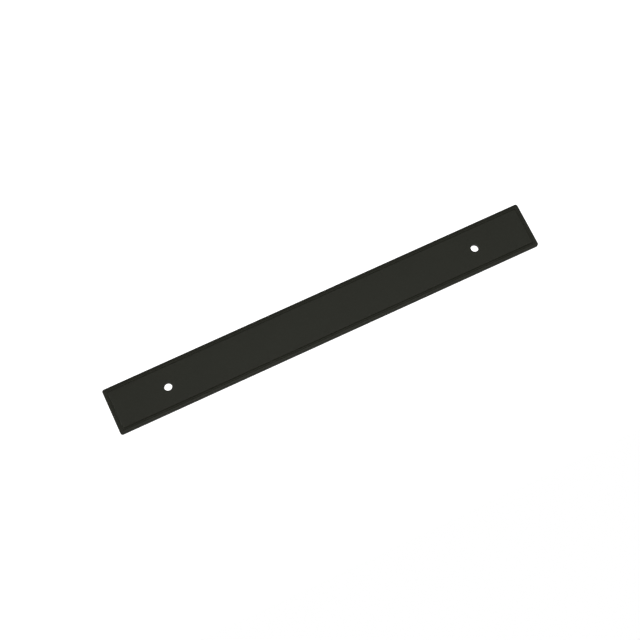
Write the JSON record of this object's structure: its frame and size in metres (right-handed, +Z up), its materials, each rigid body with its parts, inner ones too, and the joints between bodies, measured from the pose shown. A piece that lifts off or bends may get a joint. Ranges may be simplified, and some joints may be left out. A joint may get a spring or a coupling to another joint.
{
  "type": "cabinet pull backplate",
  "caption": "Long flat matte-black backplate for a cabinet or drawer pull, with a raised face, a groove and a sloped flange around it, and plain screw holes on its centre line.",
  "frame": {"origin": "midway between the screw holes, on the plane of the flat back that lies against the drawer front", "axes": "+X along the plate through both screw holes, +Z up across its width, and the raised face looks along -Y, as on a drawer front"},
  "size_m": [0.261, 0.0032, 0.0278],
  "materials": {
    "black_coat": "matte black powder coat with a faint olive tone over die-cast zinc"
  },
  "bodies": {
    "root": {"backplate": "black_coat"}
  },
  "joints": []
}
